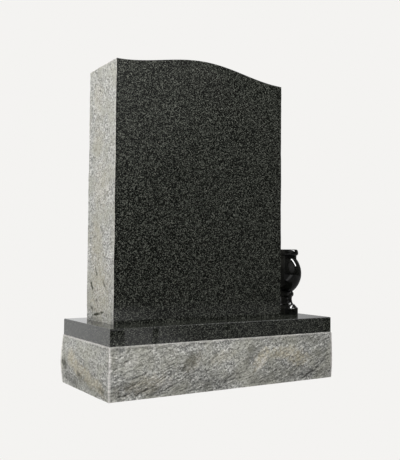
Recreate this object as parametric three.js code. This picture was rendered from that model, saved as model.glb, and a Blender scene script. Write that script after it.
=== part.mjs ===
// An upright granite headstone: a base, a tablet with a serpentine top, and a turned vase.
// Millimetres. X runs along the base to the viewer's right, -Y is the front, +Z is up.
// The origin is the middle of the base's underside.

import * as THREE from "three";
import { mergeVertices } from "three/addons/utils/BufferGeometryUtils.js";

// Base: polished above, rock-pitched below
const BASE_LENGTH = 820;
const BASE_DEPTH = 356;
const BASE_HEIGHT = 203;
const MARGIN_HEIGHT = 50;
const PITCH_LINE_PROUD = 2.5;
const PITCH_LINE_HEIGHT = 3;
const BED_LINE_PROUD = 2;
const ROCK_BULGE = 12;
const ROCK_BULGE_PEAK_SHARE = 0.45;
const ROCK_ROUGHNESS = 5;
const ROCK_CORNER_FADE = 80;
const CORNER_BULGE_SHARE = 0.1;
const BACK_LEFT_CORNER_BULGE_SHARE = 0.55;
const ROCK_CELL = 21;
const ROCK_ROWS = 7;

// Shallow conchoidal scars across the rock faces, that climb to the right and come and go
const SCAR_SPACING = 118;
const SCAR_WIDTH = 46;
const SCAR_SLOPE = 0.62;
const SCAR_DEPTH = 5;
const SCAR_LENGTH = 150;

// Tablet: polished front and back, lightly pitched sides. It stands between the base's two wings.
const LEFT_WING = 55;
const RIGHT_WING = 135;
const FRONT_LEDGE = 101.5;
const TABLET_WIDTH = BASE_LENGTH - LEFT_WING - RIGHT_WING;
const TABLET_THICKNESS = 203;
const SHOULDER_HEIGHT = 796;
const CROWN_RISE = 38;
const TOP_STEPS = 48;
const SIDE_CELL = 28;
const SIDE_COLUMNS = 7;
const SIDE_ROUGHNESS = 2.4;

// The small chamfer on every polished edge
const ARRIS = 1.5;

// Vase: a turned urn on a round foot, drilled for flowers, in the middle of the right wing
const VASE_TO_END = 53;
const VASE_TO_FRONT = 175;
const FOOT_RADIUS = 43;
const FOOT_HEIGHT = 23;
const FOOT_EDGE = 3;
const STEP_RADIUS = 32.5;
const STEP_HEIGHT = 9;
const STEP_TAPER = 4;
const STEP_EDGE = 2;
const STEM_RADIUS = 21.3;
const STEM_HEIGHT = 53;
const KNOP_RADIUS = 27.3;
const KNOP_BOTTOM = 63;
const KNOP_TOP = 79;
const GROOVE_RADIUS = 23.8;
const BOWL_BOTTOM = 81;
const BOWL_RADIUS = 54.6;
const BOWL_WIDEST_HEIGHT = 145;
const NECK_RADIUS = 37.3;
const NECK_BOTTOM = 197;
const NECK_TOP = 209;
const RIM_RADIUS = 43.6;
const RIM_WIDEST_HEIGHT = 217;
const RIM_TOP_RADIUS = 37.5;
const VASE_HEIGHT = 231;
const BORE_RADIUS = 24;
const BORE_DEPTH = 125;
const BORE_POINT = 8;
const VASE_SIDES = 40;

// A wave that never repeats in step with its neighbours, from -1 to 1
function unevenness(along, up, seed) {
  const long = Math.sin(along * 0.021 + up * 0.031 + seed * 1.7);
  const middle = Math.sin(along * 0.053 - up * 0.047 + seed * 2.9) * 0.7;
  const short = Math.sin(along * 0.113 + up * 0.091 + seed * 4.3) * 0.5;
  const cross = Math.sin(along * 0.171 - up * 0.151 + seed * 5.1) * 0.35;
  return (long + middle + short + cross) / 2.55;
}

// How deep a scar cuts at a place on a face: a sharp upper lip, then a slope that runs out
function scarDepth(along, up, seed) {
  const across = along * SCAR_SLOPE - up + seed * 37;
  const place = THREE.MathUtils.euclideanModulo(across, SCAR_SPACING);
  if (place > SCAR_WIDTH) return 0;
  const row = Math.floor(across / SCAR_SPACING);
  const swell = Math.max(0, Math.sin((2 * Math.PI * along) / (2 * SCAR_LENGTH) + row * 2.4 + seed));
  return (SCAR_DEPTH * swell * (SCAR_WIDTH - place)) / SCAR_WIDTH;
}

// The share of the full bulge at a height, 0 at both edges of the rock face and 1 at its peak
function bulgeShare(rise) {
  const peak = ROCK_BULGE_PEAK_SHARE;
  const toPeak = rise < peak ? (peak - rise) / peak : (rise - peak) / (1 - peak);
  return Math.cos((toPeak * Math.PI) / 2);
}

// How far a rock face stands out of the polished margin's plane.
// face.along is the place along the face from its middle, and face.cornerShare how much of the
// bulge the nearest corner has.
function rockStand(face, up, rockHeight) {
  const rise = up / rockHeight;
  const toCorner = (face.length / 2 - Math.abs(face.along)) / ROCK_CORNER_FADE;
  const middle = THREE.MathUtils.lerp(face.cornerShare, 1, Math.min(1, toCorner));
  const edge = THREE.MathUtils.lerp(BED_LINE_PROUD, PITCH_LINE_PROUD, rise);
  const waves = ROCK_ROUGHNESS * unevenness(face.along, up, face.seed);
  const relief = waves - scarDepth(face.along, up, face.seed);
  const full = ROCK_BULGE - edge + relief * Math.min(1, toCorner);
  return THREE.MathUtils.clamp(edge + bulgeShare(rise) * middle * full, 0, ROCK_BULGE);
}

// How far a tablet side is worked back from its own plane
function sideHollow(along, up, seed) {
  const wave = unevenness(along * 1.6, up * 0.8, seed);
  return (SIDE_ROUGHNESS * (1 - wave)) / 2;
}

// The points of a straight stretch, evenly spaced, without its last one
function stretch(from, to, count) {
  return Array.from({ length: count }, (_, k) => new THREE.Vector2().lerpVectors(from, to, k / count));
}

// A closed body from an outline that is swept through levels, each with its own height.
// moveVertex then puts every vertex in its place: it is given the outline point and the level.
function sweptBody(outline, levels, moveVertex) {
  const steps = levels.length - 1;
  const geometry = new THREE.ExtrudeGeometry(new THREE.Shape(outline), {
    depth: steps,
    steps,
    bevelEnabled: false,
  });
  const position = geometry.attributes.position;
  const place = new THREE.Vector3();
  for (let k = 0; k < position.count; k += 1) {
    const level = levels[Math.round(position.getZ(k))];
    moveVertex(place, position.getX(k), position.getY(k), level);
    position.setXYZ(k, place.x, place.y, place.z);
  }
  return closed(geometry);
}

// The same geometry with shared vertices and new normals
function closed(geometry) {
  geometry.deleteAttribute("normal");
  geometry.deleteAttribute("uv");
  const merged = mergeVertices(geometry, 1e-4);
  merged.computeVertexNormals();
  return merged;
}

function namedMesh(name, geometry, material) {
  const mesh = new THREE.Mesh(geometry, material);
  mesh.name = name;
  return mesh;
}

// Base: the outline is the plan, the levels climb from the ground to the polished top
function baseGeometry() {
  const halfLength = BASE_LENGTH / 2;
  const halfDepth = BASE_DEPTH / 2;
  const rockHeight = BASE_HEIGHT - MARGIN_HEIGHT;
  const corners = [
    new THREE.Vector2(-halfLength, -halfDepth),
    new THREE.Vector2(halfLength, -halfDepth),
    new THREE.Vector2(halfLength, halfDepth),
    new THREE.Vector2(-halfLength, halfDepth),
  ];
  const outline = corners.flatMap((corner, k) => {
    const next = corners[(k + 1) % corners.length];
    return stretch(corner, next, Math.round(corner.distanceTo(next) / ROCK_CELL));
  });

  const rockTop = rockHeight - PITCH_LINE_HEIGHT;
  const levels = Array.from({ length: ROCK_ROWS + 1 }, (_, k) => {
    return { height: (rockTop * k) / ROCK_ROWS, rock: true, inset: 0 };
  });
  levels.push({ height: rockHeight, rock: false, inset: 0 });
  levels.push({ height: BASE_HEIGHT - ARRIS, rock: false, inset: 0 });
  levels.push({ height: BASE_HEIGHT, rock: false, inset: ARRIS });

  return sweptBody(outline, levels, (place, x, y, level) => {
    const onEnd = Math.abs(Math.abs(x) - halfLength) < 1e-3;
    const onFace = Math.abs(Math.abs(y) - halfDepth) < 1e-3;
    let outX = -level.inset;
    let outY = -level.inset;
    if (level.rock) {
      const backLeft = x < 0 && y > 0;
      const cornerShare = backLeft ? BACK_LEFT_CORNER_BULGE_SHARE : CORNER_BULGE_SHARE;
      const end = { along: y, length: BASE_DEPTH, cornerShare, seed: x > 0 ? 1 : 2 };
      const face = { along: x, length: BASE_LENGTH, cornerShare, seed: y > 0 ? 3 : 4 };
      outX = rockStand(end, level.height, rockTop);
      outY = rockStand(face, level.height, rockTop);
    }
    place.x = x + (onEnd ? Math.sign(x) * outX : 0);
    place.y = y + (onFace ? Math.sign(y) * outY : 0);
    place.z = level.height;
  });
}

// Serpentine top: the shoulders are level, the crown is one smooth wave between them
function serpentineHeight(x) {
  const wave = (1 + Math.cos((2 * Math.PI * x) / TABLET_WIDTH)) / 2;
  return SHOULDER_HEIGHT + CROWN_RISE * wave;
}

// Tablet: the outline is the front view, the levels come from the back face to the front
function tabletGeometry() {
  const half = TABLET_WIDTH / 2;
  const middle = (LEFT_WING - RIGHT_WING) / 2;
  const backFace = FRONT_LEDGE + TABLET_THICKNESS - BASE_DEPTH / 2;
  const sideRows = Math.round(SHOULDER_HEIGHT / SIDE_CELL);
  const footRight = new THREE.Vector2(half, 0);
  const shoulderRight = new THREE.Vector2(half, SHOULDER_HEIGHT);
  const shoulderLeft = new THREE.Vector2(-half, SHOULDER_HEIGHT);
  const footLeft = new THREE.Vector2(-half, 0);
  const crown = stretch(shoulderRight, shoulderLeft, TOP_STEPS);
  crown.forEach((point) => {
    point.y = serpentineHeight(point.x);
  });
  const outline = [
    ...stretch(footRight, shoulderRight, sideRows),
    ...crown,
    ...stretch(shoulderLeft, footLeft, sideRows),
    footLeft,
  ];

  const sawn = TABLET_THICKNESS - 2 * ARRIS;
  const levels = [{ depth: 0, inset: ARRIS }];
  for (let k = 0; k <= SIDE_COLUMNS; k += 1) {
    levels.push({ depth: ARRIS + (sawn * k) / SIDE_COLUMNS, inset: 0 });
  }
  levels.push({ depth: TABLET_THICKNESS, inset: ARRIS });

  return sweptBody(outline, levels, (place, x, z, level) => {
    const onSide = Math.abs(Math.abs(x) - half) < 1e-3;
    const onTop = z > SHOULDER_HEIGHT - 1e-3;
    const hollow = onSide ? sideHollow(level.depth, z, x > 0 ? 5 : 6) : 0;
    const back = onSide ? Math.max(hollow, level.inset) : 0;
    place.x = middle + x - Math.sign(x) * back;
    place.y = backFace - level.depth;
    place.z = BASE_HEIGHT + z - (onTop ? level.inset : 0);
  });
}

// Points of a quarter or less of an ellipse between two heights, without its first one
function turnedArc(fromRadius, fromHeight, toRadius, toHeight, steps, bulgeFirst) {
  return Array.from({ length: steps }, (_, k) => {
    const angle = ((k + 1) / steps) * (Math.PI / 2);
    const first = Math.sin(angle);
    const second = 1 - Math.cos(angle);
    return new THREE.Vector2(
      THREE.MathUtils.lerp(fromRadius, toRadius, bulgeFirst ? first : second),
      THREE.MathUtils.lerp(fromHeight, toHeight, bulgeFirst ? second : first),
    );
  });
}

// Points of a circle's arc that stands upright at its widest, between that place and an end.
// They run upwards, without the first one.
function bowlArc(widestRadius, widestHeight, endRadius, endHeight, steps) {
  const drop = widestRadius - endRadius;
  const reach = Math.abs(endHeight - widestHeight);
  const circle = (reach * reach + drop * drop) / (2 * drop);
  const low = Math.min(endHeight, widestHeight);
  return Array.from({ length: steps }, (_, k) => {
    const height = low + (reach * (k + 1)) / steps;
    const away = height - widestHeight;
    return new THREE.Vector2(widestRadius - circle + Math.sqrt(circle * circle - away * away), height);
  });
}

// Vase: half of its section, from the axis below, up the outside, over the rim and down the bore
function vaseGeometry() {
  const knopMiddle = (KNOP_BOTTOM + KNOP_TOP) / 2;
  const boreFloor = VASE_HEIGHT - BORE_DEPTH;
  const stepTop = FOOT_HEIGHT + STEP_HEIGHT;
  const profile = [
    new THREE.Vector2(0, 0),
    new THREE.Vector2(FOOT_RADIUS, 0),
    new THREE.Vector2(FOOT_RADIUS, FOOT_HEIGHT - FOOT_EDGE),
    ...turnedArc(FOOT_RADIUS, FOOT_HEIGHT - FOOT_EDGE, FOOT_RADIUS - FOOT_EDGE, FOOT_HEIGHT, 2, false),
    new THREE.Vector2(STEP_RADIUS + STEP_TAPER, FOOT_HEIGHT + STEP_TAPER),
    new THREE.Vector2(STEP_RADIUS, stepTop),
    new THREE.Vector2(STEP_RADIUS - STEP_EDGE, stepTop + STEP_EDGE),
    ...turnedArc(STEP_RADIUS - STEP_EDGE, stepTop + STEP_EDGE, STEM_RADIUS, STEM_HEIGHT, 4, true),
    ...turnedArc(STEM_RADIUS, STEM_HEIGHT, GROOVE_RADIUS, KNOP_BOTTOM, 2, false),
    ...turnedArc(GROOVE_RADIUS, KNOP_BOTTOM, KNOP_RADIUS, knopMiddle, 3, true),
    ...turnedArc(KNOP_RADIUS, knopMiddle, GROOVE_RADIUS, KNOP_TOP, 3, false),
    new THREE.Vector2(GROOVE_RADIUS, BOWL_BOTTOM),
    ...bowlArc(BOWL_RADIUS, BOWL_WIDEST_HEIGHT, GROOVE_RADIUS, BOWL_BOTTOM, 8),
    ...bowlArc(BOWL_RADIUS, BOWL_WIDEST_HEIGHT, NECK_RADIUS, NECK_BOTTOM, 6),
    new THREE.Vector2(NECK_RADIUS, NECK_TOP),
    ...turnedArc(NECK_RADIUS, NECK_TOP, RIM_RADIUS, RIM_WIDEST_HEIGHT, 3, true),
    ...turnedArc(RIM_RADIUS, RIM_WIDEST_HEIGHT, RIM_TOP_RADIUS, VASE_HEIGHT, 3, false),
    new THREE.Vector2(BORE_RADIUS + ARRIS, VASE_HEIGHT),
    new THREE.Vector2(BORE_RADIUS, VASE_HEIGHT - ARRIS),
    new THREE.Vector2(BORE_RADIUS, boreFloor + BORE_POINT),
    new THREE.Vector2(0, boreFloor),
  ];
  const geometry = new THREE.LatheGeometry(profile, VASE_SIDES);
  geometry.rotateX(Math.PI / 2);
  geometry.translate(BASE_LENGTH / 2 - VASE_TO_END, VASE_TO_FRONT - BASE_DEPTH / 2, BASE_HEIGHT);
  return closed(geometry);
}

const greyGranite = new THREE.MeshStandardMaterial({ color: 0x55564f, roughness: 0.35, metalness: 0 });
const darkGranite = new THREE.MeshStandardMaterial({ color: 0x2a2b28, roughness: 0.15, metalness: 0 });
const blackGranite = new THREE.MeshStandardMaterial({ color: 0x0b0b0a, roughness: 0.08, metalness: 0 });

const headstone = new THREE.Group();
headstone.name = "headstone";
headstone.add(namedMesh("base", baseGeometry(), greyGranite));
headstone.add(namedMesh("tablet", tabletGeometry(), darkGranite));
headstone.add(namedMesh("vase", vaseGeometry(), blackGranite));

export default headstone;
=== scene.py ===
"""Looks of an upright granite headstone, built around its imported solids.

Everything is in metres in the solids' own frame: X runs along the base to the viewer's right, -Y is
the front and Z is up. The base and the tablet get the fine broken surface of pitched granite on top
of their solids' form, and the vase is turned smooth.
"""

from __future__ import annotations

import logging
import math
from dataclasses import dataclass, field
from enum import Enum

import bpy
from mathutils import Matrix, Vector, noise
from mathutils.bvhtree import BVHTree

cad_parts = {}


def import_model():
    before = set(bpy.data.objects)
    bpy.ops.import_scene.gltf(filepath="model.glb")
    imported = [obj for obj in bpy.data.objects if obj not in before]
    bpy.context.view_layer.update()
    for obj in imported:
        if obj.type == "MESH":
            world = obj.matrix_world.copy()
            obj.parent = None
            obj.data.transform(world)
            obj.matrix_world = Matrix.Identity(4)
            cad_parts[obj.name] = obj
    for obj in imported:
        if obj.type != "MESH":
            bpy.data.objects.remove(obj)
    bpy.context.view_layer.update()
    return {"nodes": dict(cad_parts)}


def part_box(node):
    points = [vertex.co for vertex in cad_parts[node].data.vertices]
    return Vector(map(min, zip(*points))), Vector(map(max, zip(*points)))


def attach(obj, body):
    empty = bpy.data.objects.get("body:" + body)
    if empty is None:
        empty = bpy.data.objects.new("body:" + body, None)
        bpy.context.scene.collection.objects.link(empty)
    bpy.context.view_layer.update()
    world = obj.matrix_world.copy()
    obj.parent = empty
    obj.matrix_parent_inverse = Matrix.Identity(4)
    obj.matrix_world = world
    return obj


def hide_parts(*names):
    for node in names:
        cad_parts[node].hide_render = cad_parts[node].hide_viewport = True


LOG = logging.getLogger("headstone")
MM = 0.001
# The mesh attribute that holds a broken face's own coordinates, along and across its climbing grain
GRAIN = "grain"
# Fractal noise: how its finer layers weaken, how much finer each is, and how many there are
RAGGED_LAYERS = (0.9, 2.0, 3)
GRIT_LAYERS = (0.8, 2.1, 3)

Colour = tuple[float, float, float, float]
Material = bpy.types.Material
Socket = bpy.types.NodeSocket
Tree = bpy.types.NodeTree


def linear(hex_colour: str) -> Colour:
    """Turn an sRGB hex colour into a linear one.

    Args:
        hex_colour: the colour as "#rrggbb".

    Returns:
        Linear red, green and blue, and an alpha of 1.
    """
    channels = [int(hex_colour[k : k + 2], 16) / 255 for k in (1, 3, 5)]
    red, green, blue = (c / 12.92 if c <= 0.04045 else ((c + 0.055) / 1.055) ** 2.4 for c in channels)
    return (red, green, blue, 1.0)


def add_node(
    tree: Tree,
    kind: str,
    inputs: dict[str | int, object] | None = None,
    stops: list[tuple[float, Colour]] | None = None,
    **settings: object,
) -> bpy.types.Node:
    """Add a node with its settings, its input values or links, and a ramp's stops.

    Args:
        tree: the node tree it goes in.
        kind: the node's type name.
        inputs: input name or number to a value, or to the output socket it is linked to.
        stops: position and colour of each stop, for a colour ramp.
        settings: properties of the node itself.

    Returns:
        The new node.
    """
    node = tree.nodes.new(kind)
    for name, value in settings.items():
        setattr(node, name, value)
    for socket, value in (inputs or {}).items():
        if isinstance(value, Socket):
            tree.links.new(value, node.inputs[socket])
        else:
            node.inputs[socket].default_value = value
    for k, (place, colour) in enumerate(stops or []):
        stop = node.color_ramp.elements[k] if k < 2 else node.color_ramp.elements.new(place)
        stop.position = place
        stop.color = colour
    return node


def grey(value: float) -> Colour:
    """Return a plain linear grey, for masks."""
    return (value, value, value, 1.0)


def new_material(name: str) -> tuple[Material, Tree]:
    """Return an empty node material and its tree."""
    material = bpy.data.materials.new(name)
    material.use_nodes = True
    material.node_tree.nodes.clear()
    return material, material.node_tree


class Mark(Enum):
    """What a mesh says of a place on a broken stone face, as an attribute from 0 to 1."""

    STAIN = "stain"
    # The chisel's pale bruising, and a painted highlight on a lit ridge of the base's front
    BRUISE = "bruise"
    # Dirt and painted shade: hollows, recesses under steps, slopes away from the light, the tablet's foot
    HOLLOW = "hollow"


Marks = dict[Mark, float]


def object_place(tree: Tree) -> Socket:
    """Return the socket of the place on the piece, in metres."""
    return add_node(tree, "ShaderNodeTexCoord").outputs["Object"]


def crystal_value(tree: Tree, place: Socket, size_mm: float) -> Socket:
    """Return a socket that has its own even value from 0 to 1 on each crystal."""
    settings = {"Vector": place, "Scale": 1 / (size_mm * MM)}
    cells = add_node(tree, "ShaderNodeTexVoronoi", settings, feature="F1")
    return add_node(tree, "ShaderNodeSeparateColor", {"Color": cells.outputs["Color"]}).outputs["Red"]


def cloud_value(tree: Tree, place: Socket, size_mm: float, detail: float = 2.0) -> Socket:
    """Return a socket with soft clouds from 0 to 1, of the given size."""
    settings = {"Vector": place, "Scale": 1 / (size_mm * MM), "Detail": detail}
    return add_node(tree, "ShaderNodeTexNoise", settings).outputs["Fac"]


def product(tree: Tree, first: Socket, second: Socket | float) -> Socket:
    """Return the socket of one value times another."""
    return add_node(tree, "ShaderNodeMath", {0: first, 1: second}, operation="MULTIPLY").outputs["Value"]


def weighted(tree: Tree, parts: list[tuple[Socket, float]]) -> Socket:
    """Return the socket of a weighted sum."""
    total: Socket | float = 0.0
    for socket, weight in parts:
        settings = {0: socket, 1: weight, 2: total}
        total = add_node(tree, "ShaderNodeMath", settings, operation="MULTIPLY_ADD").outputs["Value"]
    return total


def ramp(tree: Tree, value: Socket, stops: list[tuple[float, Colour]]) -> Socket:
    """Return the colour socket of a ramp with these stops."""
    return add_node(tree, "ShaderNodeValToRGB", {"Fac": value}, stops=stops).outputs["Color"]


def layered(tree: Tree, below: Socket, mask: Socket, hex_colour: str, strength: float = 1.0) -> Socket:
    """Return the colour socket of one plain colour laid over another by a mask.

    Args:
        tree: the material's tree.
        below: the colour that shows where the mask is 0.
        mask: where the new colour lies.
        hex_colour: the new colour.
        strength: how much of it shows where the mask is 1.

    Returns:
        The mixed colour.
    """
    if strength != 1.0:
        mask = product(tree, mask, strength)
    # Inputs 6 and 7 and output 2 are the node's colours; its number and vector sockets come first
    settings = {"Factor": mask, 6: below, 7: linear(hex_colour)}
    return add_node(tree, "ShaderNodeMix", settings, data_type="RGBA", blend_type="MIX").outputs[2]


def finish_material(tree: Tree, inputs: dict) -> None:
    """Close a material with its one shader."""
    skin = add_node(tree, "ShaderNodeBsdfPrincipled", inputs)
    add_node(tree, "ShaderNodeOutputMaterial", {"Surface": skin.outputs["BSDF"]})


@dataclass(frozen=True)
class PolishedGranite:
    """Dark grey granite, sawn, ground and polished.

    The polish is a mirror, so the eye gets the surroundings at a flat angle and, straight on, the
    crystals: black mica and hornblende among dark and lighter grey feldspar.
    """

    name: str = "polished_dark_grey_granite"
    mica: str = "#030303"
    dark_feldspar: str = "#10110e"
    grey_feldspar: str = "#272925"
    pale_feldspar: str = "#6a6c64"
    crystal_mm: float = 2.5
    speck_mm: float = 1.7
    mottle_mm: float = 14.0
    crystal_weight: float = 0.53
    speck_weight: float = 0.40
    mottle_weight: float = 0.07
    roughness: float = 0.07
    ior: float = 1.55

    def material(self) -> Material:
        """Build the material.

        Returns:
            The polished granite.
        """
        material, tree = new_material(self.name)
        place = object_place(tree)
        level = weighted(
            tree,
            [
                (crystal_value(tree, place, self.crystal_mm), self.crystal_weight),
                (crystal_value(tree, place, self.speck_mm), self.speck_weight),
                (cloud_value(tree, place, self.mottle_mm), self.mottle_weight),
            ],
        )
        stone = ramp(
            tree,
            level,
            [
                (0.18, linear(self.mica)),
                (0.42, linear(self.dark_feldspar)),
                (0.62, linear(self.grey_feldspar)),
                (0.88, linear(self.pale_feldspar)),
            ],
        )
        finish_material(tree, {"Base Color": stone, "Roughness": self.roughness, "IOR": self.ior})
        return material


@dataclass(frozen=True)
class PitchedGranite:
    """The same granite broken by the pitching chisel: open crystal faces, matt and much paler.

    Weathered mica stains it a faint yellow brown in patches, and the chisel's own line is bruised
    paler than the rest. Hollows and the recesses under steps are painted dark with dirt and painted
    shade, and a lit ridge gets a painted highlight in the bruise's pale colour.
    """

    name: str = "rock_pitched_granite"
    shade: str = "#787875"
    body: str = "#a2a29d"
    pale: str = "#c9c8c3"
    mica: str = "#4b4b47"
    olive: str = "#a1a095"
    rust: str = "#b3aa92"
    # Pale colour of the chisel's bruising, also used for a painted highlight on a lit ridge
    bruise_and_highlight_tone: str = "#f0ece8"
    # Dark colour of dirt and painted shade in hollows and under steps
    dirt_and_shade_tone: str = "#3d3d31"
    rust_cover: float = 0.7
    bruise_and_highlight_cover: float = 0.9
    dirt_and_shade_cover: float = 0.75
    crystal_mm: float = 4.2
    crystal_weight: float = 0.6
    mica_mm: float = 4.8
    mottle_mm: float = 11.0
    mottle_weight: float = 0.4
    cloud_mm: float = 70.0
    pit_mm: float = 4.4
    pit_depth_mm: float = 2.2
    streak_mm: float = 5.6
    streak_stretch: float = 3.4
    streak_depth_mm: float = 3.6
    cloud_detail: float = 4.0
    roughness: float = 0.85
    ior: float = 1.5

    def material(self) -> Material:
        """Build the material.

        Returns:
            The broken granite, which reads the marks that its meshes carry.
        """
        material, tree = new_material(self.name)
        place = object_place(tree)
        settings = {
            "Base Color": self._colour(tree, place),
            "Roughness": self.roughness,
            "IOR": self.ior,
            "Normal": self._relief(tree, place),
        }
        finish_material(tree, settings)
        return material

    def _colour(self, tree: Tree, place: Socket) -> Socket:
        """Return the colour: crystals, mica, stains, dirt and painted shade, bruises and a painted
        highlight.
        """
        mottles = cloud_value(tree, place, self.mottle_mm, self.cloud_detail)
        clouds = cloud_value(tree, place, self.cloud_mm, self.cloud_detail)
        crystals = crystal_value(tree, place, self.crystal_mm)
        level = weighted(tree, [(crystals, self.crystal_weight), (mottles, self.mottle_weight)])
        stops = [(0.24, linear(self.shade)), (0.5, linear(self.body)), (0.76, linear(self.pale))]
        colour = ramp(tree, level, stops)
        flakes = crystal_value(tree, place, self.mica_mm)
        mica_mask = ramp(tree, flakes, [(0.78, grey(0.0)), (0.90, grey(0.55))])
        olive_mask = ramp(tree, clouds, [(0.42, grey(0.0)), (0.62, grey(0.7))])
        patchy = ramp(tree, mottles, [(0.36, grey(0.45)), (0.58, grey(1.0))])
        stain_mask = product(tree, self._mark(tree, Mark.STAIN), patchy)
        colour = layered(tree, colour, olive_mask, self.olive)
        colour = layered(tree, colour, mica_mask, self.mica)
        colour = layered(tree, colour, stain_mask, self.rust, self.rust_cover)
        # Dirt and painted shade, drawn dark where the mesh marks it
        colour = layered(tree, colour, self._mark(tree, Mark.HOLLOW), self.dirt_and_shade_tone, self.dirt_and_shade_cover)
        # Bruised lines, and a painted highlight on a lit ridge
        return layered(tree, colour, self._mark(tree, Mark.BRUISE), self.bruise_and_highlight_tone, self.bruise_and_highlight_cover)

    def _relief(self, tree: Tree, place: Socket) -> Socket:
        """Return the surface's bumps: streaks drawn out along the climbing grain, and small pits."""
        grain = add_node(tree, "ShaderNodeAttribute", attribute_name=GRAIN).outputs["Vector"]
        settings = {"Vector": grain, "Scale": (1 / self.streak_stretch, 1, 1)}
        stretched = add_node(tree, "ShaderNodeMapping", settings).outputs["Vector"]
        streaks = cloud_value(tree, stretched, self.streak_mm, self.cloud_detail)
        pits = cloud_value(tree, place, self.pit_mm)
        height = weighted(tree, [(streaks, self.streak_depth_mm * MM), (pits, self.pit_depth_mm * MM)])
        settings = {"Height": height, "Distance": 1.0, "Strength": 1.0}
        return add_node(tree, "ShaderNodeBump", settings).outputs["Normal"]

    @staticmethod
    def _mark(tree: Tree, mark: Mark) -> Socket:
        """Return the socket that reads one of the mesh's marks."""
        return add_node(tree, "ShaderNodeAttribute", attribute_name=mark.value).outputs["Fac"]


@dataclass(frozen=True)
class LightlyPitchedGranite(PitchedGranite):
    """The tablet's sides: a finer break, softer streaks and more dirt and painted shade in the hollows."""

    name: str = "lightly_pitched_granite"
    shade: str = "#7e7e7b"
    pale: str = "#cccbc7"
    dirt_and_shade_cover: float = 0.95
    pit_depth_mm: float = 2.3
    streak_depth_mm: float = 2.0


@dataclass(frozen=True)
class BlackGranite:
    """Fine black granite, turned and polished: almost pure black, with clear sharp highlights."""

    name: str = "polished_black_granite"
    ground: str = "#030303"
    fleck: str = "#1b1c18"
    # Real flecks are under 1 mm, drawn coarser so that they show
    fleck_mm: float = 4.0
    roughness: float = 0.04
    ior: float = 1.55

    def material(self) -> Material:
        """Build the material.

        Returns:
            The black granite.
        """
        material, tree = new_material(self.name)
        flecks = cloud_value(tree, object_place(tree), self.fleck_mm)
        stone = ramp(tree, flecks, [(0.45, linear(self.ground)), (0.75, linear(self.fleck))])
        finish_material(tree, {"Base Color": stone, "Roughness": self.roughness, "IOR": self.ior})
        return material


class Finish(Enum):
    """How a face is finished: its material's slot number, and whether it is shaded smooth."""

    POLISHED = (0, False)
    PITCHED = (1, True)
    TURNED = (0, True)

    @property
    def slot(self) -> int:
        """Return the material's slot number."""
        return self.value[0]

    @property
    def smooth(self) -> bool:
        """Return whether the face is shaded smooth."""
        return self.value[1]


@dataclass
class MeshDraft:
    """Vertices, faces and marks that are gathered before the mesh is made."""

    points: list[Vector] = field(default_factory=list)
    faces: list[list[int]] = field(default_factory=list)
    finishes: list[Finish] = field(default_factory=list)
    marks: dict[Mark, dict[int, float]] = field(default_factory=lambda: {mark: {} for mark in Mark})
    grain: dict[int, Vector] = field(default_factory=dict)

    def vertex(self, x: float, y: float, z: float) -> int:
        """Add a vertex and return its number."""
        self.points.append(Vector((x, y, z)))
        return len(self.points) - 1

    def mark(self, number: int, marks: Marks) -> None:
        """Give a vertex its marks."""
        for mark, value in marks.items():
            self.marks[mark][number] = value

    def face(self, corners: list[int], finish: Finish) -> None:
        """Add a face, its corners anticlockwise seen from outside."""
        self.faces.append(corners)
        self.finishes.append(finish)

    def strip(self, lower: list[int], upper: list[int], finish: Finish, closed: bool = False) -> None:
        """Join two rows of as many vertices with four-sided faces.

        Args:
            lower: the first row, left to right seen from outside.
            upper: the row above it.
            finish: the faces' finish.
            closed: whether the rows are rings.
        """
        count = len(lower) if closed else len(lower) - 1
        for k in range(count):
            after = (k + 1) % len(lower)
            self.face([lower[k], lower[after], upper[after], upper[k]], finish)

    def make(self, name: str, materials: list[Material], sharp_degrees: float = 40.0) -> bpy.types.Object:
        """Make the object.

        Args:
            name: the object's name.
            materials: one for each finish.
            sharp_degrees: edges that turn more than this are drawn sharp.

        Returns:
            The new object, in the scene.
        """
        mesh = bpy.data.meshes.new(name)
        mesh.from_pydata(self.points, [], self.faces)
        for material in materials:
            mesh.materials.append(material)
        mesh.polygons.foreach_set("material_index", [finish.slot for finish in self.finishes])
        mesh.polygons.foreach_set("use_smooth", [finish.smooth for finish in self.finishes])
        for mark, values in self.marks.items():
            if values:
                layer = mesh.attributes.new(name=mark.value, type="FLOAT", domain="POINT")
                layer.data.foreach_set("value", [values.get(k, 0.0) for k in range(len(self.points))])
        if self.grain:
            layer = mesh.attributes.new(name=GRAIN, type="FLOAT_VECTOR", domain="POINT")
            nowhere = Vector()
            flat = [c for k in range(len(self.points)) for c in self.grain.get(k, nowhere)]
            layer.data.foreach_set("vector", flat)
        mesh.set_sharp_from_angle(angle=math.radians(sharp_degrees))
        mesh.validate()
        mesh.update()
        thing = bpy.data.objects.new(name, mesh)
        bpy.context.scene.collection.objects.link(thing)
        return thing


def clamp(value: float, low: float = 0.0, high: float = 1.0) -> float:
    """Return the value, kept between two limits."""
    return min(max(value, low), high)


def faded_in(distance: float, width: float, least: float) -> float:
    """Return a share that grows from the least one at an edge to 1 at a distance of the width."""
    return least + (1 - least) * min(1.0, distance / width)


def face_noise(along: float, up: float, size: float, layer: float) -> float:
    """Return smooth noise between -1 and 1 on a face, of the given size; each layer has its own."""
    return noise.noise(Vector((along / size, up / size, layer)))


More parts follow.
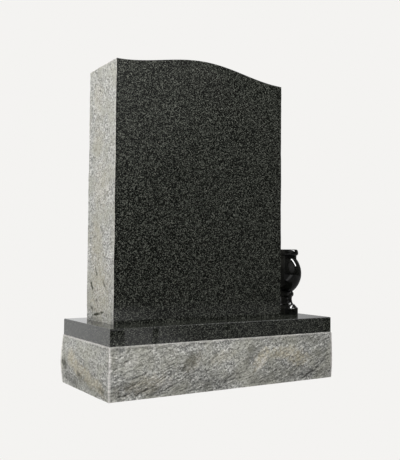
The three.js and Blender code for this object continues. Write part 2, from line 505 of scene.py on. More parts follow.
@dataclass(frozen=True)
class Ledge:
    """A crisp step in a broken face, with the shadowed hollow under it, in mm on the face.

    It wanders off its line, fades out a little past its ends, by a share of its length, and is painted
    dark with dirt and painted shade, here and there, for a few mm under the step.
    """

    start: tuple[float, float]
    end: tuple[float, float]
    drop: float = 3.0
    run: float = 14.0
    hollowness: float = 1.5
    overrun: float = 0.1
    fade_rate: float = 4.0
    wander: float = 5.0
    wander_size: float = 17.0
    dirt_and_shade_run: float = 5.0
    dirt_and_shade_size: float = 8.0
    dirt_and_shade_share: float = 0.5

    def cut(self, along: float, up: float) -> tuple[float, float]:
        """Find how the ledge cuts at a place.

        Args:
            along: the place along the face, in mm.
            up: its height on the face, in mm.

        Returns:
            The depth in mm, and how strongly dirt and painted shade darken the recess there, from 0 to 1.
        """
        step = Vector(self.end) - Vector(self.start)
        offset = Vector((along, up)) - Vector(self.start)
        share = offset.dot(step) / step.length_squared
        inside = min(share + self.overrun, 1 + self.overrun - share)
        if inside <= 0:
            return 0.0, 0.0
        wander = self.wander * face_noise(along, up, self.wander_size, self.start[0])
        below = (step.x * -offset.y + step.y * offset.x) / step.length + wander
        if not 0 < below < self.run:
            return 0.0, 0.0
        fade = min(1.0, self.fade_rate * inside)
        depth = self.drop * fade * (1 - below / self.run) ** self.hollowness
        # Painted dark under the step, dirt and painted shadow together, broken up by noise
        dirt_and_shade_amount = clamp(self.dirt_and_shade_share + face_noise(along, up, self.dirt_and_shade_size, self.end[0]))
        return depth, fade * dirt_and_shade_amount * max(0.0, 1 - below / self.dirt_and_shade_run)


@dataclass(frozen=True)
class Patch:
    """A marked patch on a face: its middle and half sizes in mm, its tilt, its strength and its mark.

    It is an ellipse with a ragged edge, whose lobes are as large as its smaller half size, within
    limits in mm.
    """

    middle: tuple[float, float]
    half: tuple[float, float]
    tilt_degrees: float = 0.0
    strength: float = 1.0
    mark: Mark = Mark.STAIN
    fill: float = 1.2
    raggedness: float = 0.8
    fringe: float = 0.6
    least_lobe: float = 5.0
    most_lobe: float = 14.0

    def at(self, along: float, up: float) -> float:
        """Return how strong the patch is at a place on the face, from 0 to 1, with a ragged edge."""
        turn = math.radians(self.tilt_degrees)
        dx = along - self.middle[0]
        dy = up - self.middle[1]
        across = (dx * math.cos(turn) + dy * math.sin(turn)) / self.half[0]
        upward = (dy * math.cos(turn) - dx * math.sin(turn)) / self.half[1]
        inside = 1 - across * across - upward * upward
        if inside < -self.fringe:
            return 0.0
        lobe = clamp(min(self.half), self.least_lobe, self.most_lobe)
        ragged = noise.fractal(Vector((along / lobe, up / lobe, self.middle[0])), *RAGGED_LAYERS)
        return self.strength * clamp(self.fill * inside + self.raggedness * ragged)


@dataclass(frozen=True)
class BrokenSurface:
    """The fine relief of a pitched face, in mm. It only cuts into the solid's own form.

    Large and small chips and grit lie along a grain that climbs at the slope. The seed, times the
    layers, and the spread of the chips' leans give each face relief of its own.
    """

    seed: float
    depth: float = 1.5
    slope_degrees: float = 22.0
    stretch: float = 1.8
    big_chip: float = 46.0
    big_tilt: float = 0.03
    small_chip: float = 13.0
    small_tilt: float = 0.08
    small_shift: tuple[float, float, float] = (11, 5, 0)
    lean_spread: float = 7.31
    warp: float = 9.0
    warp_size: float = 31.0
    grit: float = 7.0
    grit_height: float = 0.9
    chip_layer: float = 100.0
    grit_layer: float = 50.0
    line_bruise: float = 0.35
    ledges: tuple[Ledge, ...] = ()
    patches: tuple[Patch, ...] = ()

    def _chips(self, place: Vector, size: float, tilt: float) -> float:
        """Return the height of flat tilted chip faces, each with its own tilt."""
        scaled = place / size
        centre = noise.voronoi(scaled)[1][0]
        lean = noise.cell_vector(centre * self.lean_spread) * 2 - Vector((1, 1, 1))
        return (scaled - centre).dot(lean) * tilt * size

    def grain_place(self, along: float, up: float) -> Vector:
        """Return a place in the coordinates of the face's climbing grain, along and across it."""
        turn = math.radians(self.slope_degrees)
        with_slope = along * math.cos(turn) + up * math.sin(turn)
        across_slope = up * math.cos(turn) - along * math.sin(turn)
        return Vector((with_slope, across_slope, self.seed))

    def cut(self, along: float, up: float) -> tuple[float, Marks]:
        """Find the fine relief at a place.

        Args:
            along: the place along the face, in mm.
            up: its height on the face, in mm.

        Returns:
            The depth under the solid's form in mm, and the marks.
        """
        with_slope, across_slope, _ = self.grain_place(along, up)
        warp = self.warp * face_noise(along, up, self.warp_size, self.seed)
        place = Vector((with_slope / self.stretch, across_slope + warp, self.seed * self.chip_layer))
        height = self._chips(place, self.big_chip, self.big_tilt)
        height += self._chips(place + Vector(self.small_shift), self.small_chip, self.small_tilt)
        grit_place = Vector((along, up, self.seed * self.grit_layer)) / self.grit
        height += self.grit_height * noise.fractal(grit_place, *GRIT_LAYERS)
        depth = max(0.0, self.depth - height)
        marks = {mark: 0.0 for mark in Mark}
        for ledge in self.ledges:
            ledge_depth, dark = ledge.cut(along, up)
            depth += ledge_depth
            marks[Mark.HOLLOW] = max(marks[Mark.HOLLOW], dark)
        for patch in self.patches:
            marks[patch.mark] = max(marks[patch.mark], patch.at(along, up))
        return depth, marks


@dataclass(frozen=True)
class LightSurface(BrokenSurface):
    """The relief of a side that is only lightly pitched: a steep grain and low grit."""

    slope_degrees: float = 78.0
    stretch: float = 2.0
    big_chip: float = 60.0
    small_chip: float = 15.0
    small_tilt: float = 0.07
    grit_height: float = 0.35


def smoothed(rows: list[list[float]], reach: int) -> list[list[float]]:
    """Average a grid of values over a square, so that a faceted form turns round.

    Args:
        rows: the values, row by row.
        reach: how many cells the square goes to each side.

    Returns:
        The averaged grid.
    """

    def along_row(row: list[float]) -> list[float]:
        """Average one row."""
        last = len(row) - 1
        window = range(-reach, reach + 1)
        return [sum(row[clamp(k + d, 0, last)] for d in window) / len(window) for k in range(len(row))]

    across = [along_row(row) for row in rows]
    turned = [along_row(list(column)) for column in zip(*across)]
    return [list(row) for row in zip(*turned)]


def spaced(start: float, end: float, cell: float) -> list[float]:
    """Return evenly spaced places from start to end, about a cell apart, both ends included."""
    count = max(1, round(abs(end - start) / cell))
    return [start + (end - start) * k / count for k in range(count + 1)]


@dataclass(frozen=True)
class FaceView:
    """One upright side of a block: its directions, its plane, its ends, its foot and its height."""

    outward: Vector
    along: Vector
    plane: float
    start: float
    end: float
    height: float
    foot: float = 0.0

    def columns(self, cell: float) -> list[float]:
        """Return places from end to end, about a cell apart."""
        return spaced(self.start, self.end, cell)

    def rows(self, cell: float) -> list[float]:
        """Return heights above the foot, about a cell apart."""
        return spaced(0, self.height, cell)

    def to_end(self, along: float) -> float:
        """Return how far a place is from the nearer end."""
        return min(abs(along - self.start), abs(along - self.end))

    def place(self, along: float, up: float, stand: float) -> Vector:
        """Return a point on the side.

        Args:
            along: distance along the side, in metres in the frame's own direction.
            up: height above the foot, in metres.
            stand: how far out of the plane, in metres.

        Returns:
            The point.
        """
        return self.along * along + self.outward * (self.plane + stand) + Vector((0, 0, self.foot + up))


class SolidForm:
    """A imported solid's surface, read by rays that start a little outside it."""

    ray_start: float = 200 * MM

    def __init__(self, solid: bpy.types.Object) -> None:
        """Build the search tree of the solid's mesh."""
        self.name = solid.name
        self.tree = BVHTree.FromObject(solid, bpy.context.evaluated_depsgraph_get())

    def _stand(self, view: FaceView, along: float, up: float) -> float:
        """Return how far the solid stands out of a side's plane at one place."""
        start = view.place(along, up, self.ray_start)
        place = self.tree.ray_cast(start, -view.outward)[0]
        if place is None:
            raise ValueError(f"{self.name}: no surface from {start[:]} along {-view.outward[:]}")
        return place.dot(view.outward) - view.plane

    def stands(self, view: FaceView, cell: float, inset: float, reach: int) -> list[list[float]]:
        """Measure how far the solid stands out of a side's plane, with its facets turned round.

        Args:
            view: the side.
            cell: how far apart the places are.
            inset: how far inside the side's edges the outermost rays go.
            reach: how many cells the averaging goes to each side.

        Returns:
            The stands in metres, row by row from the foot.
        """
        low, high = sorted((view.start, view.end))
        columns = [clamp(along, low + inset, high - inset) for along in view.columns(cell)]
        rows = [clamp(up, inset, view.height - inset) for up in view.rows(cell)]
        return smoothed([[self._stand(view, along, up) for along in columns] for up in rows], reach)


@dataclass
class Base:
    """The base: a polished top and margin, and rock-pitched sides below."""

    margin: float = 50 * MM
    pitch_line_height: float = 3 * MM
    rock_bulge: float = 12 * MM
    arris: float = 1.5 * MM
    cell: float = 3 * MM
    edge_fade: float = 9 * MM
    edge_share: float = 0.25
    ray_inset: float = 0.2 * MM
    form_reach: int = 6
    line_width: float = 3.0 * MM
    corner_width: float = 4.2 * MM
    # How much the bruised lines' widths waver, and how often in a metre
    waver: float = 0.5
    waver_rate: float = 60.0
    front: BrokenSurface = BrokenSurface(
        seed=1.0,
        ledges=(
            Ledge((-383, 12), (-351, 19), 2.5, 10),
            Ledge((-333, 12), (-284, 30), 3.0, 12),
            Ledge((-238, 20), (-212, 27), 3.0, 12),
            Ledge((-345, 60), (-300, 74), 1.6, 12),
            Ledge((-372, 104), (-345, 126), 1.6, 10),
            Ledge((-92, 10), (-84, 34), 2.0, 10),
            Ledge((-8, 26), (34, 36), 3.0, 12),
            Ledge((12, 40), (30, 58), 2.0, 8),
            Ledge((270, 0), (344, 44), 3.8, 12),
            Ledge((150, 112), (176, 124), 1.6, 10),
        ),
        patches=(
            Patch((110, 84), (50, 24), 50, 0.9),
            Patch((205, 98), (80, 22), 2, 0.8),
            Patch((258, 78), (52, 30), -8, 0.85),
            Patch((-142, 92), (46, 26), 38, 0.4),
            Patch((-300, 40), (90, 30), 8, 0.45),
            Patch((-40, 100), (60, 20), 15, 0.3),
            # A painted highlight: the pale face of a ridge lit from the left
            Patch((112, 72), (34, 7), 54, 0.4, Mark.BRUISE),
            Patch((-345, 106), (34, 14), 30, 0.2, Mark.BRUISE),
            Patch((-235, 40), (26, 14), 40, 0.25, Mark.BRUISE),
            Patch((-150, 98), (46, 24), 38, 0.7, Mark.HOLLOW),
            # Painted shadow on the slope that faces away from the light, left of the lit ridge
            Patch((70, 104), (36, 18), 62, 0.6, Mark.HOLLOW),
            Patch((104, 112), (26, 16), 40, 0.4, Mark.HOLLOW),
            Patch((150, 132), (70, 11), 4, 0.35, Mark.HOLLOW),
            Patch((310, 128), (100, 16), 0, 0.4, Mark.HOLLOW),
            # Painted shadow, the lower end of the same slope
            Patch((52, 80), (16, 9), 60, 0.7, Mark.HOLLOW),
            Patch((350, 88), (56, 10), 6, 0.45, Mark.HOLLOW),
            Patch((-370, 34), (44, 18), 20, 0.3, Mark.HOLLOW),
            Patch((-86, 20), (20, 14), 60, 0.45, Mark.HOLLOW),
        ),
    )
    left: BrokenSurface = BrokenSurface(
        seed=2.0,
        line_bruise=0.6,
        ledges=(
            Ledge((112, 56), (150, 70), 3.5, 12),
            Ledge((4, 34), (30, 48), 3.0, 10),
            Ledge((-150, 22), (-118, 32), 2.0, 9),
        ),
        patches=(
            Patch((92, 92), (36, 32), 30, 0.8),
            Patch((40, 66), (60, 30), 26, 0.9),
            Patch((-34, 50), (60, 28), 20, 0.9),
            Patch((-112, 32), (56, 24), 14, 0.8),
            Patch((152, 66), (36, 20), 10, 1.0, Mark.HOLLOW),
            Patch((26, 42), (28, 15), 24, 0.8, Mark.HOLLOW),
            Patch((-20, 36), (40, 10), 10, 0.4, Mark.HOLLOW),
            Patch((-136, 26), (26, 10), 10, 0.7, Mark.HOLLOW),
            Patch((100, 24), (90, 26), 0, 0.45, Mark.HOLLOW),
        ),
    )
    right: BrokenSurface = BrokenSurface(
        seed=3.0,
        ledges=(Ledge((-90, 40), (-20, 70), 3.0, 16),),
        patches=(Patch((30, 60), (80, 30), 20, 0.7),),
    )
    back: BrokenSurface = BrokenSurface(
        seed=4.0,
        ledges=(Ledge((-250, 40), (-170, 74), 3.5, 18), Ledge((90, 60), (170, 96), 3.5, 18)),
        patches=(Patch((-160, 70), (90, 30), 20, 0.7), Patch((210, 50), (70, 26), 20, 0.6)),
    )

    def __post_init__(self) -> None:
        """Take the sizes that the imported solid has."""
        low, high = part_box("base")
        self.half_length = (high[0] - low[0]) / 2 - self.rock_bulge
        self.half_depth = (high[1] - low[1]) / 2 - self.rock_bulge
        self.height = high[2]
        self.rock_height = self.height - self.margin - self.pitch_line_height

    def _views(self) -> list[tuple[FaceView, BrokenSurface]]:
        """Return the four sides in order round the block, anticlockwise from above."""
        x, y = Vector((1, 0, 0)), Vector((0, 1, 0))
        length, depth, height = self.half_length, self.half_depth, self.rock_height
        return [
            (FaceView(-y, x, depth, -length, length, height), self.front),
            (FaceView(x, y, length, -depth, depth, height), self.right),
            (FaceView(y, x, depth, length, -length, height), self.back),
            (FaceView(-x, y, length, depth, -depth, height), self.left),
        ]

    def _side_grid(
        self, view: FaceView, surface: BrokenSurface, form: SolidForm
    ) -> list[list[tuple[float, Marks]]]:
        """Find the relief of one side.

        Args:
            view: the side.
            surface: its fine relief.
            form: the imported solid.

        Returns:
            For each row and column: the stand in metres, and the marks.
        """
        grid = []
        stands = form.stands(view, self.cell, self.ray_inset, self.form_reach)
        for up, row in zip(view.rows(self.cell), stands):
            cells = []
            to_line = view.height - up
            for along, stand in zip(view.columns(self.cell), row):
                to_end = view.to_end(along)
                depth, marks = surface.cut(along / MM, up / MM)
                fade = faded_in(min(up, to_line, to_end), self.edge_fade, self.edge_share)
                waver = 1 + self.waver * noise.noise(Vector((along, up, surface.seed)) * self.waver_rate)
                line = 1 - to_line / (self.line_width * waver)
                corner = 1 - to_end / (self.corner_width * waver)
                marks[Mark.HOLLOW] *= fade
                marks[Mark.BRUISE] = max(marks[Mark.BRUISE], line * surface.line_bruise, corner)
                cells.append((min(self.rock_bulge, stand - depth * fade * MM), marks))
            grid.append(cells)
        return grid

    def _rock_rings(self, draft: MeshDraft, form: SolidForm) -> list[list[int]]:
        """Add the four broken sides' vertices, and return their numbers, ring by ring from the foot."""
        views = self._views()
        grids = [self._side_grid(view, surface, form) for view, surface in views]
        rings = []
        for r, up in enumerate(spaced(0, self.rock_height, self.cell)):
            ring = []
            for v, (view, surface) in enumerate(views):
                last_stand, last_marks = grids[v - 1][r][-1]
                for c, along in enumerate(view.columns(self.cell)[:-1]):
                    stand, marks = grids[v][r][c]
                    point = view.place(along, up, stand)
                    if c == 0:
                        # The corner belongs to the side before as well
                        point += views[v - 1][0].outward * last_stand
                        marks[Mark.STAIN] = max(marks[Mark.STAIN], last_marks[Mark.STAIN])
                    ring.append(draft.vertex(*point))
                    draft.mark(ring[-1], marks)
                    draft.grain[ring[-1]] = surface.grain_place(along, up)
            rings.append(ring)
        return rings

    def build(self, solid: bpy.types.Object, polished: Material, pitched: Material) -> bpy.types.Object:
        """Build the base stone.

        Args:
            solid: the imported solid.
            polished: the polished granite.
            pitched: the broken granite.

        Returns:
            The piece that stands for the solid.
        """
        draft = MeshDraft()
        rock = self._rock_rings(draft, SolidForm(solid))
        for lower, upper in zip(rock, rock[1:]):
            draft.strip(lower, upper, Finish.PITCHED, closed=True)
        margin_bottom = self._plain_ring(draft, self.height - self.margin, 0.0)
        margin_top = self._plain_ring(draft, self.height - self.arris, 0.0)
        top = self._plain_ring(draft, self.height, self.arris)
        for number in margin_bottom:
            draft.mark(number, {Mark.BRUISE: self.front.line_bruise})
        draft.strip(rock[-1], margin_bottom, Finish.PITCHED, closed=True)
        draft.strip(margin_bottom, margin_top, Finish.POLISHED, closed=True)
        draft.strip(margin_top, top, Finish.POLISHED, closed=True)
        draft.face(top, Finish.POLISHED)
        draft.face(rock[0][::-1], Finish.PITCHED)
        return draft.make("base_stone", [polished, pitched])

    def _plain_ring(self, draft: MeshDraft, height: float, inset: float) -> list[int]:
        """Add a ring of vertices round the block, inset from its planes, and return their numbers."""
        ring = []
        for view, _ in self._views():
            shrink = (abs(view.start) - inset) / abs(view.start)
            for along in view.columns(self.cell)[:-1]:
                ring.append(draft.vertex(*view.place(along * shrink, height, -inset)))
        return ring


@dataclass
class Tablet:
    """The tablet: polished front, back and serpentine top, and lightly pitched sides."""

    shoulder: float = 796 * MM
    arris: float = 1.5 * MM
    cell: float = 3.5 * MM
    top_steps: int = 96
    edge_fade: float = 8 * MM
    edge_share: float = 0.3
    edge_bruise: float = 0.5
    ray_inset: float = 2 * MM
    form_reach: int = 3
    # How far the chips stand out again over the solid's form, within its box
    lift_mm: float = 1.6
    left: BrokenSurface = LightSurface(
        seed=5.0,
        ledges=(
            Ledge((24, 26), (76, 19), 3.6, 7),
            Ledge((96, 123), (79, 95), 3.4, 7),
            Ledge((54, 156), (45, 140), 2.8, 6),
            Ledge((6, 126), (-15, 106), 2.4, 6),
        ),
        patches=(
            Patch((30, 110), (90, 120), 0, 0.45),
            Patch((60, 240), (60, 90), 0, 0.4),
            Patch((84, 224), (16, 9), 30, 0.7),
            Patch((20, 420), (70, 90), 0, 0.3),
            Patch((50, 560), (50, 70), 0, 0.25),
            Patch((60, 700), (40, 60), 0, 0.3),
            # Dark marks in the cracks, dirt and painted shade
            Patch((58, 163), (8, 7), 0, 0.9, Mark.HOLLOW),
            Patch((49, 148), (13, 6), 60, 1.0, Mark.HOLLOW),
            Patch((87, 109), (21, 7), 59, 1.2, Mark.HOLLOW),
            Patch((-4, 116), (16, 6), 44, 0.8, Mark.HOLLOW),
            Patch((45, 65), (9, 6), 40, 0.9, Mark.HOLLOW),
            Patch((85, 38), (11, 6), 17, 1.0, Mark.HOLLOW),
            Patch((50, 21), (30, 5), -8, 1.3, Mark.HOLLOW),
            Patch((8, 29), (18, 5), -10, 1.1, Mark.HOLLOW),
            Patch((-26, 24), (10, 5), 28, 0.8, Mark.HOLLOW),
            Patch((15, 278), (20, 5), 65, 0.6, Mark.HOLLOW),
            Patch((72, 262), (10, 5), 40, 0.6, Mark.HOLLOW),
            # Painted shade along the foot, where the side meets the base
            Patch((70, 4), (80, 10), 0, 0.35, Mark.HOLLOW),
        ),
    )
    right: BrokenSurface = LightSurface(
        seed=6.0,
        patches=(Patch((20, 200), (70, 120), 0, 0.4), Patch((0, 520), (60, 90), 0, 0.35)),
    )

    def __post_init__(self) -> None:
        """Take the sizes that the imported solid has."""
        low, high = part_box("tablet")
        self.middle = (low[0] + high[0]) / 2
        self.half_width = (high[0] - low[0]) / 2
        self.front, self.back = low[1], high[1]
        self.foot = low[2]
        self.rise = high[2] - low[2] - self.shoulder

    def _top_height(self, x: float) -> float:
        """Return the serpentine's height over an X place."""
        wave = (1 + math.cos(math.pi * (x - self.middle) / self.half_width)) / 2
        return self.foot + self.shoulder + self.rise * wave

    def _side(
        self, draft: MeshDraft, sign: int, surface: BrokenSurface, form: SolidForm
    ) -> list[list[int]]:
        """Add one pitched side's vertices.

        Args:
            draft: the mesh under way.
            sign: -1 for the left side, 1 for the right.
            surface: its fine relief.
            form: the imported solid.

        Returns:
            The vertex numbers, row by row from the foot, each row from the front to the back.
        """
        plane = self.half_width + sign * self.middle
        outward, backward = Vector((sign, 0, 0)), Vector((0, 1, 0))
        view = FaceView(outward, backward, plane, self.front, self.back, self.shoulder, self.foot)
        stands = form.stands(view, self.cell, self.ray_inset, self.form_reach)
        heights = view.rows(self.cell)
        rows = []
        for up, row in zip(heights, stands):
            numbers = []
            for depth, stand in zip(view.columns(self.cell), row):
                cut, marks = surface.cut(depth / MM, up / MM)
                to_edge = min(view.to_end(depth), self.shoulder - up)
                fade = faded_in(to_edge, self.edge_fade, self.edge_share)
                point = view.place(depth, up, min(0.0, stand - (cut - self.lift_mm) * fade * MM))
                if up == heights[-1]:
                    point.z = self._top_height(point.x)
                if to_edge < self.cell / 2:
                    marks[Mark.BRUISE] = self.edge_bruise
                numbers.append(draft.vertex(*point))
                draft.mark(numbers[-1], marks)
                draft.grain[numbers[-1]] = surface.grain_place(depth, up)
            rows.append(numbers)
        return rows

    def _top_rows(self, draft: MeshDraft) -> list[list[int]]:
        """Add the serpentine top's vertices, and return their numbers, row by row from the front."""
        step = 2 * self.half_width / self.top_steps
        places = [self.middle + place for place in spaced(-self.half_width, self.half_width, step)[1:-1]]
        section = (
            (self.front, self.arris),
            (self.front + self.arris, 0.0),
            (self.back - self.arris, 0.0),
            (self.back, self.arris),
        )
        rows = []
        for depth, drop in section:
            rows.append([draft.vertex(x, depth, self._top_height(x) - drop) for x in places])
        return rows

    def build(self, solid: bpy.types.Object, polished: Material, pitched: Material) -> bpy.types.Object:
        """Build the tablet stone.

        Args:
            solid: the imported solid.
            polished: the polished granite.
            pitched: the broken granite.

        Returns:
            The piece that stands for the solid.
        """
        draft = MeshDraft()
        form = SolidForm(solid)
        left = self._side(draft, -1, self.left, form)
        right = self._side(draft, 1, self.right, form)
        for lower, upper in zip(left, left[1:]):
            draft.strip(lower[::-1], upper[::-1], Finish.PITCHED)
        for lower, upper in zip(right, right[1:]):
            draft.strip(lower, upper, Finish.PITCHED)
        top = self._top_rows(draft)
        for near, far in zip(top, top[1:]):
            draft.strip(near, far, Finish.TURNED)
        # Each side's uppermost row meets the top's ends
        draft.face(left[-1][::-1] + [row[0] for row in top], Finish.POLISHED)
        draft.face(right[-1] + [row[-1] for row in reversed(top)], Finish.POLISHED)
        front_loop = [row[0] for row in right] + top[0][::-1] + [row[0] for row in reversed(left)]
        back_loop = [row[-1] for row in left] + top[-1] + [row[-1] for row in reversed(right)]
        draft.face(front_loop, Finish.POLISHED)
        draft.face(back_loop, Finish.POLISHED)
        draft.face(left[0] + right[0][::-1], Finish.PITCHED)
        return draft.make("tablet_stone", [polished, pitched])


@dataclass
class Vase:
    """The turned vase, its sizes in mm above its own foot."""

    foot_radius: float = 43
    foot_height: float = 23
    foot_edge: float = 3
    step_radius: float = 32.5
    step_height: float = 9
    step_taper: float = 4
    step_edge: float = 2
    stem_radius: float = 21.3
    stem_height: float = 53
    knop_radius: float = 27.3
    knop_bottom: float = 63
    knop_top: float = 79
    groove_radius: float = 23.8
    bowl_bottom: float = 81
    bowl_radius: float = 54.6
    bowl_widest: float = 145
    neck_radius: float = 37.3
    neck_bottom: float = 197
    neck_top: float = 209
    rim_radius: float = 43.6
    rim_widest: float = 217
    rim_top_radius: float = 37.5
    height: float = 231
    bore_radius: float = 24
    bore_depth: float = 125
    bore_point: float = 8
    lip: float = 1.5
    sides: int = 144

    def _profile(self) -> list[tuple[float, float]]:
        """Return radius and height along half the section, from the foot up and down the bore."""
        knop_middle = (self.knop_bottom + self.knop_top) / 2
        floor = self.height - self.bore_depth
        foot_side = self.foot_height - self.foot_edge
        step_top = self.foot_height + self.step_height
        points = [(self.foot_radius, 0.0), (self.foot_radius, foot_side)]
        points += self._arc(points[-1], (self.foot_radius - self.foot_edge, self.foot_height), False)
        points += [(self.step_radius + self.step_taper, self.foot_height + self.step_taper)]
        points += [(self.step_radius, step_top)]
        step_end = (self.step_radius - self.step_edge, step_top + self.step_edge)
        points += self._arc(points[-1], step_end, False, steps=5)
        points += self._arc(points[-1], (self.stem_radius, self.stem_height), True, steps=18)
        points += self._arc(points[-1], (self.groove_radius, self.knop_bottom), False)
        points += self._arc(points[-1], (self.knop_radius, knop_middle), True)
        points += self._arc(points[-1], (self.groove_radius, self.knop_top), False)
        points += self._bowl((self.groove_radius, self.bowl_bottom), steps=26)
        points += self._bowl((self.neck_radius, self.neck_bottom), steps=22)
        points += [(self.neck_radius, self.neck_top)]
        points += self._arc(points[-1], (self.rim_radius, self.rim_widest), True)
        points += self._arc(points[-1], (self.rim_top_radius, self.height), False, steps=10)
        points += [(self.bore_radius + self.lip, self.height), (self.bore_radius, self.height - self.lip)]
        points += [(self.bore_radius, floor + self.bore_point)]
        return points

    def _bowl(self, end: tuple[float, float], steps: int) -> list[tuple[float, float]]:
        """Return the circle's arc between the bowl's widest place and one of its ends, upwards."""
        drop = self.bowl_radius - end[0]
        reach = abs(end[1] - self.bowl_widest)
        circle = (reach * reach + drop * drop) / (2 * drop)
        low = min(end[1], self.bowl_widest)
        points = []
        for k in range(steps + 1):
            height = low + reach * k / steps
            away = height - self.bowl_widest
            points.append((self.bowl_radius - circle + math.sqrt(circle * circle - away * away), height))
        return points if end[1] < self.bowl_widest else points[1:]

    @staticmethod
    def _arc(
        start: tuple[float, float], end: tuple[float, float], bulge_first: bool, steps: int = 8
    ) -> list[tuple[float, float]]:
        """Return a quarter of an ellipse between two points, without the first one.

        Args:
            start: radius and height where it begins.
            end: radius and height where it ends.
            bulge_first: whether the radius changes fastest at the start.
            steps: how many points.

        Returns:
            The points.
        """
        points = []
        for k in range(1, steps + 1):
            angle = k / steps * math.pi / 2
            fast, slow = math.sin(angle), 1 - math.cos(angle)
            in_radius, in_height = (fast, slow) if bulge_first else (slow, fast)
            radius = start[0] + (end[0] - start[0]) * in_radius
            points.append((radius, start[1] + (end[1] - start[1]) * in_height))
        return points

    def build(self, material: Material) -> bpy.types.Object:
        """Build the vase.

        Args:
            material: the black granite.

        Returns:
            The piece that stands for the solid.
        """
        low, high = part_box("vase")
        middle = ((low[0] + high[0]) / 2, (low[1] + high[1]) / 2)
        draft = MeshDraft()
        rings = []
        for radius, height in self._profile():
            ring = []
            for k in range(self.sides):
                angle = 2 * math.pi * k / self.sides
                x = middle[0] + radius * MM * math.cos(angle)
                y = middle[1] + radius * MM * math.sin(angle)
                ring.append(draft.vertex(x, y, low[2] + height * MM))
            rings.append(ring)
        for lower, upper in zip(rings, rings[1:]):
            draft.strip(lower, upper, Finish.TURNED, closed=True)
        draft.face(rings[0][::-1], Finish.TURNED)
        bore_tip = draft.vertex(*middle, low[2] + (self.height - self.bore_depth) * MM)
        for k in range(self.sides):
            draft.face([rings[-1][k], rings[-1][(k + 1) % self.sides], bore_tip], Finish.TURNED)
        return draft.make("vase_urn", [material], sharp_degrees=32)


@dataclass(frozen=True)
class SoftBox:
    """A soft box: where it hangs, where it is turned to, its width and height, and its power.

    The polished stones mirror none of them, so that no white square lies on the flat faces. Those that
    are for the vase shine on it alone, and it mirrors them.
    """

    name: str
    place: tuple[float, float, float]
    aim: tuple[float, float, float]
    size: tuple[float, float]
    watts: float
    for_vase: bool = False


@dataclass(frozen=True)
class Glow:
    """A bright part of the surroundings: its middle, and its brightness by nearness to it, from 0 to 1."""

    way: tuple[float, float, float]
    stops: tuple[tuple[float, float], ...]

    def level(self, tree: Tree, way: Socket) -> Socket:
        """Return the brightness toward a direction."""
        settings = {0: way, 1: Vector(self.way).normalized()}
        toward = add_node(tree, "ShaderNodeVectorMath", settings, operation="DOT_PRODUCT")
        settings = {"Value": toward.outputs["Value"], "From Min": -1.0, "From Max": 1.0}
        nearness = add_node(tree, "ShaderNodeMapRange", settings).outputs["Result"]
        return ramp(tree, nearness, [(at, grey(value)) for at, value in self.stops])


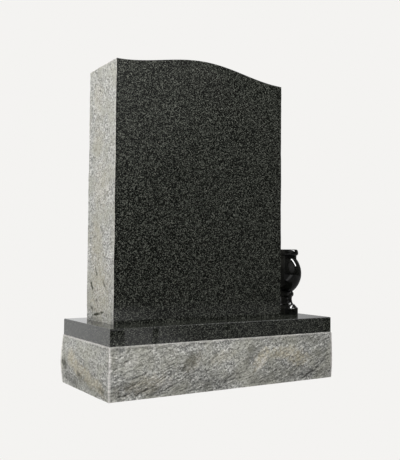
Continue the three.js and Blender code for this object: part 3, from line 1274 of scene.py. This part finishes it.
@dataclass(frozen=True)
class Studio:
    """The pale studio: the camera of the photograph, the floor, the surroundings and the lights."""

    camera_place: tuple[float, float, float] = (-1188 * MM, -1897 * MM, 407 * MM)
    camera_yaw: float = -31.89
    camera_pitch: float = 2.24
    camera_roll: float = -0.46
    lens_mm: float = 52.52
    sensor_mm: float = 36.0
    camera_reach: float = 100.0
    paper: str = "#f4f3f1"
    floor_half: float = 3.0
    # The polished faces mirror a bright wall and floor at the back left, and dim ones in front
    wall_glows: tuple[Glow, ...] = (
        Glow((-0.40, 0.88, 0.20), ((0.0, 0.01), (0.60, 0.12), (0.72, 0.42), (0.84, 0.88), (0.90, 0.92))),
        Glow((0.15, -0.88, 0.45), ((0.945, 0.0), (0.985, 0.32))),
        # What the base's front arris mirrors, a thin light line
        Glow((0.62, -0.09, 0.78), ((0.985, 0.0), (0.997, 1.1))),
    )
    floor_glows: tuple[Glow, ...] = (
        Glow((-0.40, 0.88, 0.20), ((0.0, 0.14), (0.5, 0.22), (0.8, 0.55), (0.93, 0.9))),
        Glow((0.15, -0.88, 0.0), ((0.986, 0.0), (1.0, 0.62))),
    )
    lamps: tuple[SoftBox, ...] = (
        SoftBox("key_left", (-2.2, -1.3, 2.0), (0.0, 0.0, 0.45), (0.8, 0.8), 60.0),
        SoftBox("front_fill", (-1.0, -1.6, 2.2), (0.0, 0.0, 0.4), (0.7, 0.7), 36.0),
        SoftBox("back_fill", (3.0, 1.6, 2.2), (0.0, 0.0, 0.4), (1.5, 1.5), 60.0),
        SoftBox("right_fill", (1.5, -1.0, 1.5), (0.3, -0.1, 0.1), (0.8, 0.8), 9.0),
        SoftBox("top_fill", (0.5, -0.7, 2.4), (0.2, -0.15, 0.2), (0.8, 0.8), 14.0),
        SoftBox("vase_strip", (1.50, -0.86, 1.73), (0.36, 0.0, 0.35), (0.30, 1.4), 30.0, True),
        SoftBox("overhead", (0.90, 0.75, 2.5), (0.36, 0.0, 0.3), (1.2, 1.2), 12.0, True),
    )

    def camera(self) -> None:
        """Set up the camera where the photograph was taken."""
        data = bpy.data.cameras.new("camera")
        data.lens = self.lens_mm
        data.sensor_width = self.sensor_mm
        data.sensor_fit = "AUTO"
        data.clip_end = self.camera_reach
        thing = bpy.data.objects.new("camera", data)
        turn = (
            Matrix.Rotation(math.radians(self.camera_yaw), 4, "Z")
            @ Matrix.Rotation(math.radians(self.camera_pitch), 4, "X")
            @ Matrix.Rotation(math.radians(self.camera_roll), 4, "Y")
            @ Matrix.Rotation(math.radians(90), 4, "X")
        )
        thing.matrix_world = Matrix.Translation(self.camera_place) @ turn
        bpy.context.scene.collection.objects.link(thing)
        bpy.context.scene.camera = thing
        bpy.context.scene.view_settings.view_transform = "Standard"

    def surroundings(self) -> None:
        """Paint the world: plain paper for the camera, a bright back and a dark front for the rest."""
        world = bpy.data.worlds.new("studio")
        bpy.context.scene.world = world
        world.use_nodes = True
        tree = world.node_tree
        tree.nodes.clear()
        way = add_node(tree, "ShaderNodeTexCoord").outputs["Generated"]
        surface = self._paper_and_glow(tree, "ShaderNodeBackground", way, self.wall_glows)
        add_node(tree, "ShaderNodeOutputWorld", {"Surface": surface})

    def _paper_and_glow(self, tree: Tree, shader: str, way: Socket, glows: tuple[Glow, ...]) -> Socket:
        """Return a shader that the camera sees as paper and that shines with the sum of the glows.

        Args:
            tree: the tree of the world or the material.
            shader: the type name of the node that shines.
            way: the direction.
            glows: the bright parts.

        Returns:
            The mixed shader.
        """
        glow = glows[0].level(tree, way)
        for other in glows[1:]:
            settings = {0: glow, 1: other.level(tree, way)}
            glow = add_node(tree, "ShaderNodeVectorMath", settings, operation="ADD").outputs["Vector"]
        seen = add_node(tree, shader, {"Color": linear(self.paper), "Strength": 1.0})
        lit = add_node(tree, shader, {"Color": glow, "Strength": 1.0})
        rays = add_node(tree, "ShaderNodeLightPath")
        settings = {0: rays.outputs["Is Camera Ray"], 1: lit.outputs[0], 2: seen.outputs[0]}
        return add_node(tree, "ShaderNodeMixShader", settings).outputs["Shader"]

    def floor(self) -> None:
        """Lay the floor: paper that shines as the background does, brighter at the back left."""
        draft = MeshDraft()
        reach = self.floor_half
        corners = [(-reach, -reach), (reach, -reach), (reach, reach), (-reach, reach)]
        draft.face([draft.vertex(x, y, 0.0) for x, y in corners], Finish.POLISHED)
        material, tree = new_material("paper_floor")
        way = add_node(tree, "ShaderNodeVectorMath", {0: object_place(tree)}, operation="NORMALIZE")
        surface = self._paper_and_glow(tree, "ShaderNodeEmission", way.outputs["Vector"], self.floor_glows)
        add_node(tree, "ShaderNodeOutputMaterial", {"Surface": surface})
        draft.make("floor", [material])

    def light(self, lamp: SoftBox, vase_only: bpy.types.Collection) -> None:
        """Hang a soft box.

        Args:
            lamp: the soft box.
            vase_only: the collection that holds the vase.
        """
        data = bpy.data.lights.new(lamp.name, "AREA")
        data.shape = "RECTANGLE"
        data.size, data.size_y = lamp.size
        data.energy = lamp.watts
        thing = bpy.data.objects.new(lamp.name, data)
        thing.visible_glossy = lamp.for_vase
        if lamp.for_vase:
            thing.light_linking.receiver_collection = vase_only
        thing.location = lamp.place
        aim = Vector(lamp.aim) - Vector(lamp.place)
        thing.rotation_euler = aim.to_track_quat("-Z", "Y").to_euler()
        bpy.context.scene.collection.objects.link(thing)

    def build(self, vase: bpy.types.Object) -> None:
        """Set up everything.

        Args:
            vase: the piece that gets lamps of its own.
        """
        self.camera()
        self.surroundings()
        self.floor()
        vase_only = bpy.data.collections.new("vase_only")
        vase_only.objects.link(vase)
        for lamp in self.lamps:
            self.light(lamp, vase_only)


def dress(piece: bpy.types.Object, node: str) -> None:
    """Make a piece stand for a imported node.

    Args:
        piece: the finished piece.
        node: the node that it replaces.
    """
    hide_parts(node)
    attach(piece, "root")
    LOG.info("%s: %d vertices, %d faces", piece.name, len(piece.data.vertices), len(piece.data.polygons))


def main() -> None:
    """Build the stones, the vase and the studio in order."""
    logging.basicConfig(level=logging.INFO, format="%(name)s: %(message)s")
    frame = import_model()
    solids = frame["nodes"]
    polished = PolishedGranite().material()
    base = Base().build(solids["base"], polished, PitchedGranite().material())
    tablet = Tablet().build(solids["tablet"], polished, LightlyPitchedGranite().material())
    vase = Vase().build(BlackGranite().material())
    dress(base, "base")
    dress(tablet, "tablet")
    dress(vase, "vase")
    Studio().build(vase)


if __name__ == "__main__":
    main()
